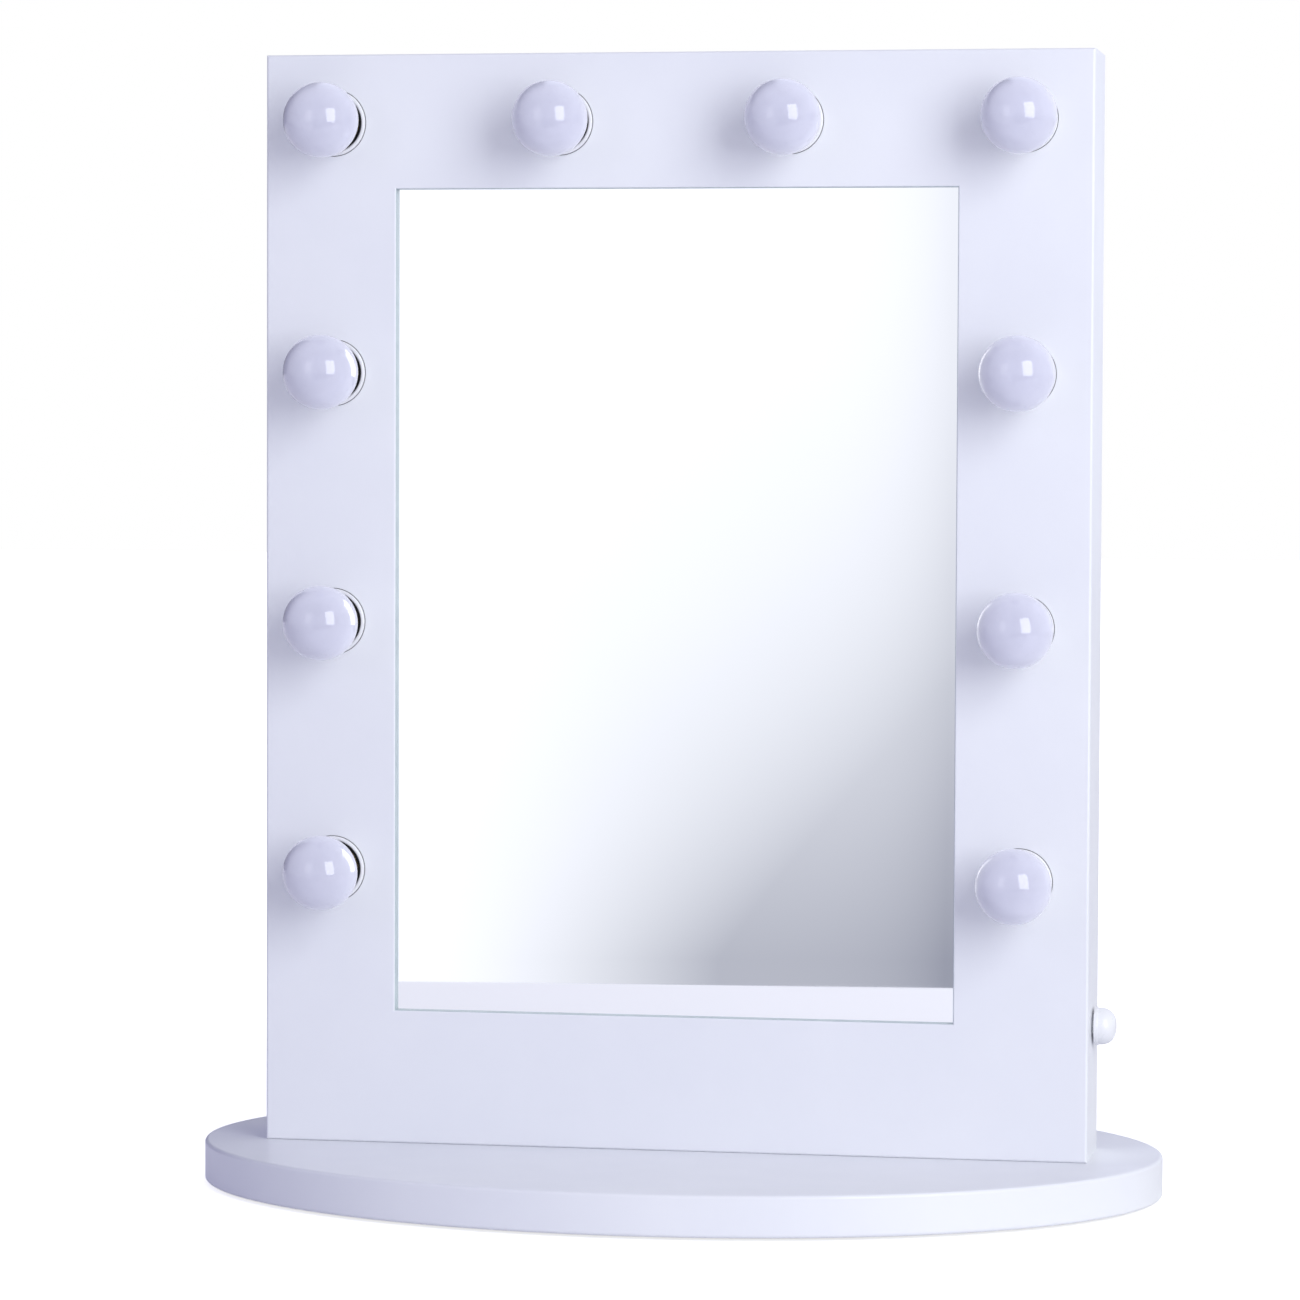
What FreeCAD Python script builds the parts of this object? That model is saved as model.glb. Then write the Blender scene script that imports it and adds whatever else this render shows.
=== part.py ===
import FreeCAD, Part
import Sketcher
import math
import os
import re

# A lighted vanity mirror: a lacquered box frame that stands on an oval base,
# with ten globe lamps round an inset mirror and a dimmer knob on its right side.
#
# Millimetres. +Z is up and -Y is the side that the user sits at.
# The origin is on the table top, below the middle of the base.

# The driving dimensions. Each becomes a cell of the spreadsheet, with its name as alias.
SIZES = {
    # feet and oval base
    "foot_radius": 10,
    "foot_height": 2,
    "foot_chamfer": 0.8,
    "foot_offset_x": 190,
    "foot_offset_y": 110,
    "base_length": 584,
    "base_depth": 404,
    "base_thickness": 24.5,
    "base_edge_round": 2,
    "base_screw_spacing": 120,
    "base_screw_pocket_radius": 5.5,
    "base_screw_pocket_depth": 10,
    "base_screw_reach": 11,
    # the case: a front panel on four side panels, with a back panel let into them
    "case_width": 500,
    "case_height": 657,
    "case_depth": 65,
    "case_edge_round": 1.5,
    "front_thickness": 12,
    "panel_thickness": 15,
    "back_thickness": 5,
    "back_inset": 2,
    "back_ledge": 8,
    "back_clearance": 0.3,
    # the mirror, held from behind in a rebate of the front panel
    "opening_width": 340,
    "opening_height": 496,
    "opening_edge_round": 0.8,
    "mirror_recess": 5,
    "mirror_overlap": 10,
    "mirror_thickness": 4,
    "mirror_clearance": 0.5,
    # mirror clips: bent steel strips
    "clip_width": 14,
    "clip_gauge": 1,
    "clip_foot": 12,
    "clip_tongue": 9,
    "clip_gap": 0.3,
    "clip_screw_offset": 6.5,
    "clip_offset_x": 140,
    # screws
    "screw_head_radius": 3,
    "screw_head_height": 1.8,
    "screw_shank_radius": 1.5,
    "screw_length": 10,
    "large_head_radius": 4.5,
    "large_head_height": 3,
    "large_shank_radius": 2.4,
    "recess_width": 0.9,
    "screw_play": 0.05,
    "back_screw_end_gap": 60,
    "back_screw_offset_x": 120,
    # lamps: places on the front panel
    "lamp_side_inset": 41.5,
    "lamp_top_inset": 41,
    "lamp_row_spacing": 139,
    "lamp_column_spacing": 150,
    # globe lamps; heights are measured outwards from the front face
    "globe_radius": 22.5,
    "globe_wall": 1.2,
    "globe_centre": 32,
    "globe_cut": 10,
    "housing_neck_radius": 14.5,
    "housing_lip_height": 1.4,
    "housing_lip_play": 0.1,
    "cap_radius": 12.3,
    "cap_skirt_radius": 13.35,
    "cap_top": 1.5,
    "cap_length": 27,
    "cap_skirt_height": 2.2,
    "cap_skirt_taper": 0.8,
    "cap_contact_radius": 4.8,
    "cap_contact_flare": 1.2,
    "cap_contact_height": 2,
    "cap_end_height": 5,
    "thread_start": 6,
    "thread_pitch": 3.6,
    "thread_turns": 5,
    "thread_sink": 0.1,
    "thread_ridge_radius": 1,
    # lampholders
    "holder_rim_radius": 19.8,
    "holder_rim_inner_radius": 18,
    "holder_rim_height": 2.3,
    "holder_rim_round": 0.5,
    "holder_barrel_radius": 18.3,
    "holder_cup_radius": 17.2,
    "holder_cup_depth": 6,
    "holder_bore_radius": 14.4,
    "holder_bore_depth": 29,
    "holder_tail_radius": 16.6,
    "holder_tail_start": 18,
    "holder_tail_taper": 5,
    "holder_tail_taper_height": 3,
    "holder_depth": 34,
    "holder_hole_play": 0.2,
    "shell_wall": 0.45,
    "shell_gap": 1,
    "contact_radius": 4,
    "contact_height": 3,
    "contact_chamfer": 1,
    "nut_radius": 22.5,
    "nut_thickness": 4,
    "nut_chamfer": 1,
    # dimmer, behind a thinned patch of the right panel
    "dimmer_height": 78,
    "dimmer_web": 4,
    "dimmer_box_width": 34,
    "dimmer_box_height": 44,
    "dimmer_box_depth": 24,
    "dimmer_pocket_play": 1,
    "bushing_radius": 4.5,
    "bushing_reach": 3.2,
    "shaft_radius": 3,
    "shaft_play": 0.05,
    "shaft_end": 11,
    "shaft_depth": 20,
    "shaft_chamfer": 0.5,
    "dimmer_nut_width": 12,
    "dimmer_nut_thickness": 2,
    "knob_gap": 1.3,
    "knob_skirt_radius": 11.5,
    "knob_skirt_top": 3.4,
    "knob_radius": 11,
    "knob_top": 14,
    "knob_round": 8.5,
    "knob_recess_radius": 8,
    "knob_recess_top": 4.5,
    "knob_mark_start": 4,
    "knob_mark_length": 3.5,
    "knob_mark_width": 1.2,
    "knob_mark_depth": 1.6,
    # cable gland in the back panel
    "gland_offset_x": 150,
    "gland_height": 60,
    "gland_bore_radius": 3.5,
    "gland_body_radius": 6,
    "gland_flange_radius": 9,
    "gland_flange_thickness": 2,
    "gland_barb_radius": 7,
    "gland_barb_gap": 0.2,
    "gland_chamfer": 0.4,
    "gland_length": 9,
    "gland_play": 0.05,
    # wiring from lampholder to lampholder
    "lead_radius": 2,
    "lead_terminal_offset": 5,
    "lead_setback": 13,
    "lead_bend_radius": 10,
}

KNOB_REST_TURN = -30     # degrees: the pointer stands at seven o'clock at rest

# Formulas that several sub-parts share.
CASE_BOTTOM = "(foot_height + base_thickness)"
CASE_FRONT = "(-case_depth / 2)"
CASE_BACK = "(case_depth / 2)"
FRONT_PANEL_BACK = "(-case_depth / 2 + front_thickness)"
OPENING_BOTTOM = "((case_height - opening_height) / 2)"
REBATE_PLAY = "(mirror_overlap + mirror_clearance)"
BACK_RIM = "(panel_thickness - back_ledge)"
BACK_POCKET_DEPTH = "(back_thickness + back_inset)"
DIMMER_HEIGHT = "(" + CASE_BOTTOM + " + dimmer_height)"

X_AXIS = FreeCAD.Vector(1, 0, 0)
Y_AXIS = FreeCAD.Vector(0, 1, 0)
Z_AXIS = FreeCAD.Vector(0, 0, 1)
UNTURNED = FreeCAD.Rotation()
OUT_OF_FRONT = FreeCAD.Rotation(X_AXIS, 90)     # local +Z points to row -Y
OUT_OF_BACK = FreeCAD.Rotation(X_AXIS, -90)     # local +Z points to row +Y
OUT_OF_SIDE = FreeCAD.Rotation(Y_AXIS, 90)      # local +Z points to row +X
HEAD_DOWN = FreeCAD.Rotation(X_AXIS, 180)       # local +Z points to row -Z

document = FreeCAD.newDocument("VanityMirror")
sheet = document.addObject("Spreadsheet::Sheet", "Sizes")
exported = []


# ---------------------------------------------------------------- helpers

def fill_sheet():
    for row, (alias, value) in enumerate(SIZES.items(), start=1):
        sheet.set(f"A{row}", alias)
        sheet.set(f"B{row}", str(value))
        sheet.setAlias(f"B{row}", alias)
    document.recompute()


def formula(text):
    """The text with each size's name pointing at its cell of the sheet."""
    def cell(match):
        word = match.group(0)
        return "Sizes." + word if word in SIZES else word
    return re.sub(r"[a-z][a-z_]*", cell, text)


def bind(thing, field, text):
    thing.setExpression(field, formula(text))


def place(thing, x="0", y="0", z="0", turn=UNTURNED):
    thing.Placement = FreeCAD.Placement(FreeCAD.Vector(), turn)
    for axis, text in zip("xyz", (x, y, z)):
        bind(thing, f"Placement.Base.{axis}", text)


def new_body(label):
    body = document.addObject("PartDesign::Body", label)
    body.Label = label
    return body


def export_later(thing):
    exported.append(thing)
    return thing


def new_sketch(body, plane, offset="0"):
    """A sketch on one of the body's own origin planes, moved along the plane's normal."""
    sketch = body.newObject("Sketcher::SketchObject", "Sketch")
    planes = [item for item in body.Origin.OriginFeatures if item.Role == plane]
    sketch.AttachmentSupport = (planes[0], [""])
    sketch.MapMode = "FlatFace"
    bind(sketch, "AttachmentOffset.Base.z", offset)
    return sketch


def pin_point(sketch, geometry, point, across, up):
    """Bind one point of a sketch to its distances from the sketch's origin."""
    for kind, text in (("DistanceX", across), ("DistanceY", up)):
        start = geometry + 1.0
        index = sketch.addConstraint(Sketcher.Constraint(kind, -1, 1, geometry, point, start))
        bind(sketch, f"Constraints[{index}]", text)


def draw_outline(sketch, corners):
    """A closed outline of straight lines; each corner is a pair of formulas."""
    first = sketch.GeometryCount
    count = len(corners)
    turns = [2 * math.pi * index / count for index in range(count)]
    rough = [FreeCAD.Vector(100 * math.cos(turn), 100 * math.sin(turn), 0) for turn in turns]
    for index in range(count):
        sketch.addGeometry(Part.LineSegment(rough[index], rough[(index + 1) % count]), False)
    for index in range(count):
        following = first + (index + 1) % count
        sketch.addConstraint(Sketcher.Constraint("Coincident", first + index, 2, following, 1))
    for index, (across, up) in enumerate(corners):
        pin_point(sketch, first + index, 1, across, up)


def draw_rectangle(sketch, left, bottom, width, height):
    right = f"({left}) + ({width})"
    top = f"({bottom}) + ({height})"
    draw_outline(sketch, [(left, bottom), (right, bottom), (right, top), (left, top)])


def draw_circles(sketch, centres, radius):
    for across, up in centres:
        index = sketch.addGeometry(Part.Circle(FreeCAD.Vector(), Z_AXIS, 1), False)
        round_size = sketch.addConstraint(Sketcher.Constraint("Radius", index, 1.0))
        bind(sketch, f"Constraints[{round_size}]", radius)
        pin_point(sketch, index, 3, across, up)


def pad(body, sketch, length, backwards=False, both_ways=False):
    feature = body.newObject("PartDesign::Pad", "Pad")
    feature.Profile = sketch
    feature.Reversed = backwards
    if both_ways:
        feature.SideType = "Symmetric"
    bind(feature, "Length", length)
    document.recompute()
    return feature


def pocket(body, sketch, length=None, forwards=False):
    """Cut a sketch into the body: right through both ways, or to a stated depth."""
    before = body.Shape.Volume
    feature = body.newObject("PartDesign::Pocket", "Pocket")
    feature.Profile = sketch
    if length is None:
        feature.Type = "ThroughAll"
        feature.SideType = "Symmetric"
    else:
        feature.Reversed = forwards
        bind(feature, "Length", length)
    document.recompute()
    if feature.Shape.Volume >= before:
        raise RuntimeError(f"a pocket in {body.Label} cuts nothing")
    return feature


def revolve(body, corners):
    """A solid of revolution about local Z; corners are (radius, height) formulas."""
    sketch = new_sketch(body, "XZ_Plane")
    draw_outline(sketch, corners)
    feature = body.newObject("PartDesign::Revolution", "Revolution")
    feature.Profile = sketch
    feature.ReferenceAxis = (sketch, ["V_Axis"])
    feature.Angle = 360
    document.recompute()
    return feature


def round_edges(body, base, chosen, radius):
    """Fillet the edges of a feature that the chosen test picks out."""
    names = [f"Edge{index}" for index, edge in enumerate(base.Shape.Edges, start=1) if chosen(edge)]
    if not names:
        raise RuntimeError(f"no edge to round in {body.Label}")
    feature = body.newObject("PartDesign::Fillet", "Fillet")
    feature.Base = (base, names)
    bind(feature, "Radius", radius)
    document.recompute()
    return feature


def number(alias):
    return float(sheet.get(alias))


def near(value, target):
    return abs(value - target) < 0.001


def grouped(label, master, spots):
    """One sub-part made of identical separate solids, each a link to the same master."""
    links = []
    for x, y, z, turn in spots:
        link = document.addObject("App::Link", f"{label}_item")
        link.LinkedObject = master
        place(link, x, y, z, turn)
        links.append(link)
    compound = document.addObject("Part::Compound", label)
    compound.Label = label
    compound.Links = links
    return export_later(compound)


# ---------------------------------------------------------------- places

def lamp_places():
    """The lamps' (x, height above the case's bottom), down the left, along the top, down the right."""
    side = "(case_width / 2 - lamp_side_inset)"
    top = "(case_height - lamp_top_inset)"
    left = [(f"(-{side})", f"({top} - {drop} * lamp_column_spacing)") for drop in (3, 2, 1)]
    row = [(f"({step} * lamp_row_spacing)", top) for step in (-1.5, -0.5, 0.5, 1.5)]
    right = [(side, f"({top} - {drop} * lamp_column_spacing)") for drop in (1, 2, 3)]
    return left + row + right


def clip_places():
    """The mirror clips' (x, height, turn about row Y) at the rebate's edge."""
    edge_x = f"(opening_width / 2 + {REBATE_PLAY})"
    low = f"({OPENING_BOTTOM} - {REBATE_PLAY})"
    high = f"({OPENING_BOTTOM} + opening_height + {REBATE_PLAY})"
    top_lamp = "(case_height - lamp_top_inset)"
    places = []
    for drop in (0.5, 1.5, 2.5):
        height = f"({top_lamp} - {drop} * lamp_column_spacing)"
        places.append((edge_x, height, 0))
        places.append((f"(-{edge_x})", height, 180))
    for side in (1, -1):
        places.append((f"({side} * clip_offset_x)", high, -90))
        places.append((f"({side} * clip_offset_x)", low, 90))
    return places


def clip_screw_places():
    places = []
    for x, height, turn in clip_places():
        reach_x = round(math.cos(math.radians(turn)))
        reach_z = -round(math.sin(math.radians(turn)))
        places.append((f"({x} + {reach_x} * clip_screw_offset)",
                       f"({height} + {reach_z} * clip_screw_offset)"))
    return places


def back_screw_places():
    """Four screws down each side of the back panel and two along its top and its bottom."""
    side = "(case_width / 2 - panel_thickness + back_ledge / 2)"
    low = f"({BACK_RIM} + back_ledge / 2)"
    high = f"(case_height - {low})"
    step = "((case_height - 2 * back_screw_end_gap) / 3)"
    sides = [(f"({sign} * {side})", f"(back_screw_end_gap + {index} * {step})")
             for sign in (-1, 1) for index in range(4)]
    ends = [(f"({sign} * back_screw_offset_x)", height) for height in (low, high) for sign in (-1, 1)]
    return sides, ends


def base_screw_places():
    """The base screws' (x, distance forward of the case's back)."""
    panel_middle = "(case_depth - front_thickness) / 2"
    return [(f"({step} * base_screw_spacing)", panel_middle) for step in (-1.5, -0.5, 0.5, 1.5)]


# ---------------------------------------------------------------- base and feet

def make_base_plate():
    body = new_body("base_plate")
    sketch = new_sketch(body, "XY_Plane")
    ellipse = Part.Ellipse(FreeCAD.Vector(), number("base_length") / 2, number("base_depth") / 2)
    index = sketch.addGeometry(ellipse, False)
    sketch.exposeInternalGeometry(index)
    long_axis, short_axis = index + 1, index + 2
    sketch.addConstraint(Sketcher.Constraint("Coincident", index, 3, -1, 1))
    sketch.addConstraint(Sketcher.Constraint("Horizontal", long_axis))
    for axis, alias in ((long_axis, "base_length"), (short_axis, "base_depth")):
        length = sketch.addConstraint(Sketcher.Constraint("Distance", axis, number(alias)))
        bind(sketch, f"Constraints[{length}]", alias)
    plate = pad(body, sketch, "base_thickness")
    round_edges(body, plate, lambda edge: edge.Closed, "base_edge_round")
    forward = "(case_depth / 2 - ({}))"
    centres = [(x, forward.format(y)) for x, y in base_screw_places()]
    clearance = new_sketch(body, "XY_Plane")
    draw_circles(clearance, centres, "large_shank_radius + screw_play")
    pocket(body, clearance)
    heads = new_sketch(body, "XY_Plane")
    draw_circles(heads, centres, "base_screw_pocket_radius")
    pocket(body, heads, "base_screw_pocket_depth", forwards=True)
    place(body, z="foot_height")
    export_later(body)


def make_rubber_feet():
    foot = new_body("foot_master")
    revolve(foot, [("0", "0"), ("foot_radius - foot_chamfer", "0"), ("foot_radius", "foot_chamfer"),
                   ("foot_radius", "foot_height"), ("0", "foot_height")])
    spots = [(f"{side} * foot_offset_x", f"{end} * foot_offset_y", "0", UNTURNED)
             for side in (-1, 1) for end in (-1, 1)]
    grouped("rubber_feet", foot, spots)


# ---------------------------------------------------------------- case

def make_front_panel():
    """The panel with the mirror's opening, its rebate and the lamp holes; local Y 0 is its back."""
    body = new_body("front_panel")
    face = new_sketch(body, "XZ_Plane")
    draw_rectangle(face, "-case_width / 2", "0", "case_width", "case_height")
    draw_rectangle(face, "-opening_width / 2", OPENING_BOTTOM, "opening_width", "opening_height")
    blank = pad(body, face, "front_thickness")

    def on_front(edge):
        box = edge.BoundBox
        return near(box.YMin, -number("front_thickness")) and near(box.YLength, 0)

    def on_opening(edge):
        reach = number("opening_width") / 2
        height = number("opening_height")
        box = edge.BoundBox
        upright = near(abs(box.XMin), reach) and near(box.ZLength, height)
        return on_front(edge) and (upright or near(box.XLength, 2 * reach))

    rounded = round_edges(body, blank, lambda edge: on_front(edge) and not on_opening(edge),
                          "case_edge_round")
    round_edges(body, rounded, on_opening, "opening_edge_round")
    rebate = new_sketch(body, "XZ_Plane")
    draw_rectangle(rebate, f"-opening_width / 2 - {REBATE_PLAY}", f"{OPENING_BOTTOM} - {REBATE_PLAY}",
                   f"opening_width + 2 * {REBATE_PLAY}", f"opening_height + 2 * {REBATE_PLAY}")
    pocket(body, rebate, "front_thickness - mirror_recess", forwards=True)
    holes = new_sketch(body, "XZ_Plane")
    draw_circles(holes, lamp_places(), "holder_barrel_radius + holder_hole_play")
    pocket(body, holes)
    pilots = new_sketch(body, "XZ_Plane")
    draw_circles(pilots, clip_screw_places(), "screw_shank_radius + screw_play")
    pocket(body, pilots, "screw_length - clip_gauge + screw_play", forwards=True)
    place(body, y=FRONT_PANEL_BACK, z=CASE_BOTTOM)
    export_later(body)


def case_panel(label, left, bottom, width, height, outer_edge, screws):
    """One of the four panels behind the front; local Y 0 is the case's back."""
    body = new_body(label)
    section = new_sketch(body, "XZ_Plane")
    draw_rectangle(section, left, bottom, width, height)
    blank = pad(body, section, "case_depth - front_thickness")
    round_edges(body, blank, outer_edge, "case_edge_round")
    ledge = new_sketch(body, "XZ_Plane")
    draw_rectangle(ledge, f"-case_width / 2 + {BACK_RIM}", BACK_RIM,
                   f"case_width - 2 * {BACK_RIM}", f"case_height - 2 * {BACK_RIM}")
    pocket(body, ledge, BACK_POCKET_DEPTH, forwards=True)
    pilots = new_sketch(body, "XZ_Plane")
    draw_circles(pilots, screws, "screw_shank_radius + screw_play")
    pocket(body, pilots, "back_inset + screw_length + screw_play", forwards=True)
    place(body, y=CASE_BACK, z=CASE_BOTTOM)
    return export_later(body)


def make_case_panels():
    sides, ends = back_screw_places()
    half = number("case_width") / 2
    height = number("case_height")

    def back_edge(edge):
        return near(edge.BoundBox.YMax, 0) and near(edge.BoundBox.YLength, 0)

    def outer_left(edge):
        return back_edge(edge) and near(edge.BoundBox.XMax, -half)

    def outer_right(edge):
        return back_edge(edge) and near(edge.BoundBox.XMin, half)

    def outer_top(edge):
        return back_edge(edge) and near(edge.BoundBox.ZMin, height)

    def outer_bottom(edge):
        return back_edge(edge) and near(edge.BoundBox.ZMax, 0)

    between = "case_width - 2 * panel_thickness"
    inner_left = "-case_width / 2 + panel_thickness"
    case_panel("left_side_panel", "-case_width / 2", "0", "panel_thickness", "case_height",
               outer_left, sides[:4])
    right = case_panel("right_side_panel", "case_width / 2 - panel_thickness", "0",
                       "panel_thickness", "case_height", outer_right, sides[4:])
    case_panel("top_panel", inner_left, "case_height - panel_thickness", between,
               "panel_thickness", outer_top, ends[2:])
    bottom = case_panel("bottom_panel", inner_left, "0", between, "panel_thickness",
                        outer_bottom, ends[:2])
    cut_dimmer_pocket(right)
    cut_base_pilots(bottom)


def cut_dimmer_pocket(panel):
    """Thin the right panel from inside for the dimmer, and pierce it for the bushing."""
    room = new_sketch(panel, "YZ_Plane")
    width = "(dimmer_box_width + 2 * dimmer_pocket_play)"
    height = "(dimmer_box_height + 2 * dimmer_pocket_play)"
    draw_rectangle(room, f"-case_depth / 2 - {width} / 2", f"dimmer_height - {height} / 2", width, height)
    pocket(panel, room, "case_width / 2 - dimmer_web", forwards=True)
    hole = new_sketch(panel, "YZ_Plane")
    draw_circles(hole, [("-case_depth / 2", "dimmer_height")], "bushing_radius + holder_hole_play")
    pocket(panel, hole)


def cut_base_pilots(panel):
    pilots = new_sketch(panel, "XY_Plane")
    centres = [(x, f"-({y})") for x, y in base_screw_places()]
    draw_circles(pilots, centres, "large_shank_radius + screw_play")
    pocket(panel, pilots, "base_screw_reach + screw_play", forwards=True)


def make_back_panel():
    body = new_body("back_panel")
    face = new_sketch(body, "XZ_Plane")
    rim = f"({BACK_RIM} + back_clearance)"
    draw_rectangle(face, f"-case_width / 2 + {rim}", rim,
                   f"case_width - 2 * {rim}", f"case_height - 2 * {rim}")
    pad(body, face, "back_thickness")
    screws = new_sketch(body, "XZ_Plane")
    sides, ends = back_screw_places()
    draw_circles(screws, sides + ends, "screw_shank_radius + screw_play")
    pocket(body, screws)
    gland = new_sketch(body, "XZ_Plane")
    draw_circles(gland, [("gland_offset_x", "gland_height")], "gland_body_radius")
    pocket(body, gland)
    place(body, y=f"{CASE_BACK} - back_inset", z=CASE_BOTTOM)
    export_later(body)


# ---------------------------------------------------------------- mirror and its clips

def make_mirror_glass():
    body = new_body("mirror_glass")
    face = new_sketch(body, "XZ_Plane")
    draw_rectangle(face, "-opening_width / 2 - mirror_overlap", f"{OPENING_BOTTOM} - mirror_overlap",
                   "opening_width + 2 * mirror_overlap", "opening_height + 2 * mirror_overlap")
    pad(body, face, "mirror_thickness")
    place(body, y=f"{CASE_FRONT} + mirror_recess + mirror_thickness", z=CASE_BOTTOM)
    export_later(body)


def make_mirror_clips():
    """Stepped strips: the foot lies on the front panel's back and the tongue on the mirror's."""
    clip = new_body("clip_master")
    step = "(front_thickness - mirror_recess - mirror_thickness)"
    section = new_sketch(clip, "XZ_Plane")
    inner = "-clip_gap - clip_gauge"
    draw_outline(section, [
        ("-clip_tongue", f"-{step}"), ("-clip_gap", f"-{step}"), ("-clip_gap", "0"),
        ("clip_foot", "0"), ("clip_foot", "clip_gauge"), (inner, "clip_gauge"),
        (inner, f"clip_gauge - {step}"), ("-clip_tongue", f"clip_gauge - {step}")])
    pad(clip, section, "clip_width", both_ways=True)
    hole = new_sketch(clip, "XY_Plane")
    draw_circles(hole, [("clip_screw_offset", "0")], "screw_shank_radius + screw_play")
    pocket(clip, hole)
    spots = []
    for x, height, turn in clip_places():
        facing = FreeCAD.Rotation(Y_AXIS, turn).multiply(OUT_OF_BACK)
        spots.append((x, FRONT_PANEL_BACK, f"{CASE_BOTTOM} + {height}", facing))
    grouped("mirror_clips", clip, spots)


# ---------------------------------------------------------------- screws

def screw_master(label, head_radius, head_height, shank_radius, length):
    """A pan-head screw with a cross recess; local Z 0 is under the head, which is above it."""
    body = new_body(label)
    revolve(body, [("0", head_height), (f"0.7 * {head_radius}", head_height),
                   (head_radius, f"0.6 * {head_height}"), (head_radius, "0"),
                   (shank_radius, "0"), (shank_radius, f"{shank_radius} - ({length})"),
                   ("0", f"-({length})")])
    reach = f"0.55 * {head_radius}"
    for long_side, short_side in ((reach, "recess_width / 2"), ("recess_width / 2", reach)):
        slot = new_sketch(body, "XY_Plane", offset=head_height)
        draw_rectangle(slot, f"-({long_side})", f"-({short_side})",
                       f"2 * ({long_side})", f"2 * ({short_side})")
        pocket(body, slot, f"0.7 * {head_height}")
    return body


def make_wood_screws():
    """The small screws that hold the back panel and the mirror clips."""
    master = screw_master("wood_screw_master", "screw_head_radius", "screw_head_height",
                          "screw_shank_radius", "screw_length")
    sides, ends = back_screw_places()
    spots = [(x, f"{CASE_BACK} - back_inset", f"{CASE_BOTTOM} + {height}", OUT_OF_BACK)
             for x, height in sides + ends]
    spots += [(x, f"{FRONT_PANEL_BACK} + clip_gauge", f"{CASE_BOTTOM} + {height}", OUT_OF_BACK)
              for x, height in clip_screw_places()]
    grouped("wood_screws", master, spots)


def make_base_screws():
    """Long screws that come up through the base into the bottom panel."""
    length = "(base_thickness - base_screw_pocket_depth + base_screw_reach)"
    master = screw_master("base_screw_master", "large_head_radius", "large_head_height",
                          "large_shank_radius", length)
    spots = [(x, f"{CASE_BACK} - ({y})", "foot_height + base_screw_pocket_depth", HEAD_DOWN)
             for x, y in base_screw_places()]
    grouped("base_screws", master, spots)


# ---------------------------------------------------------------- lamps and lampholders

def place_lamp_piece(thing, x, height):
    """Local Z 0 is the front face, and local +Z points out of it."""
    place(thing, x, CASE_FRONT, f"{CASE_BOTTOM} + {height}", OUT_OF_FRONT)
    return export_later(thing)


def make_globe(label, x, height):
    """A frosted sphere with a thin wall, cut off flat at its back."""
    outside = document.addObject("Part::Sphere", f"{label}_outside")
    bind(outside, "Radius", "globe_radius")
    bind(outside, "Angle1", "-asin(globe_cut / globe_radius)")
    inside = document.addObject("Part::Sphere", f"{label}_inside")
    bind(inside, "Radius", "globe_radius - globe_wall")
    for sphere in (outside, inside):
        place(sphere, z="globe_centre")
    globe = document.addObject("Part::Cut", label)
    globe.Label = label
    globe.Base = outside
    globe.Tool = inside
    place_lamp_piece(globe, x, height)


def make_housing(label, x, height):
    """The lamp's tapering body between its globe and its screw cap."""
    body = new_body(label)
    top = "(globe_centre - globe_cut)"
    rim = "sqrt(globe_radius ^ 2 - globe_cut ^ 2)"
    lip = "(sqrt((globe_radius - globe_wall) ^ 2 - globe_cut ^ 2) - housing_lip_play)"
    revolve(body, [
        ("0", "cap_top"), ("housing_neck_radius", "cap_top"), (rim, top), (lip, top),
        (lip, f"{top} + housing_lip_height"), ("0", f"{top} + housing_lip_height")])
    place_lamp_piece(body, x, height)


def make_cap(label, x, height):
    """The screw cap: a core with thread ridges, a skirt above them and a tip contact below."""
    body = new_body(label)
    end = "(cap_top - cap_length)"
    revolve(body, [
        ("0", end), ("cap_contact_radius", end),
        ("cap_contact_radius + cap_contact_flare", f"{end} + cap_contact_height"),
        ("cap_radius", f"{end} + cap_end_height"),
        ("cap_radius", "cap_top - cap_skirt_height - cap_skirt_taper"),
        ("cap_skirt_radius", "cap_top - cap_skirt_height"), ("cap_skirt_radius", "cap_top"),
        ("0", "cap_top")])
    ridge = new_sketch(body, "XZ_Plane")
    draw_circles(ridge, [("cap_radius - thread_sink", "cap_top - thread_start")], "thread_ridge_radius")
    ring = body.newObject("PartDesign::Revolution", "Ridge")
    ring.Profile = ridge
    ring.ReferenceAxis = (ridge, ["V_Axis"])
    ring.Angle = 360
    document.recompute()
    thread = body.newObject("PartDesign::LinearPattern", "Thread")
    thread.Originals = [ring]
    thread.Direction = (ridge, ["V_Axis"])
    thread.Reversed = True
    bind(thread, "Occurrences", "thread_turns")
    bind(thread, "Length", "thread_pitch * (thread_turns - 1)")
    body.Tip = thread
    place_lamp_piece(body, x, height)


def make_lampholder(label, x, height):
    """A collar on the face with a barrel through the panel and a stepped bore for the cap."""
    body = new_body(label)
    rim_edge = "holder_rim_height - holder_rim_round"
    revolve(body, [
        ("holder_rim_inner_radius", rim_edge),
        ("holder_rim_inner_radius + holder_rim_round", "holder_rim_height"),
        ("holder_rim_radius - holder_rim_round", "holder_rim_height"),
        ("holder_rim_radius", rim_edge), ("holder_rim_radius", "0"),
        ("holder_barrel_radius", "0"), ("holder_barrel_radius", "-holder_tail_start"),
        ("holder_tail_radius", "-holder_tail_start"),
        ("holder_tail_radius", "holder_tail_taper_height - holder_depth"),
        ("holder_tail_radius - holder_tail_taper", "-holder_depth"), ("0", "-holder_depth"),
        ("0", "-holder_bore_depth"), ("holder_bore_radius", "-holder_bore_depth"),
        ("holder_bore_radius", "-holder_cup_depth"), ("holder_cup_radius", "-holder_cup_depth"),
        ("holder_cup_radius", "0")])
    place_lamp_piece(body, x, height)


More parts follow.
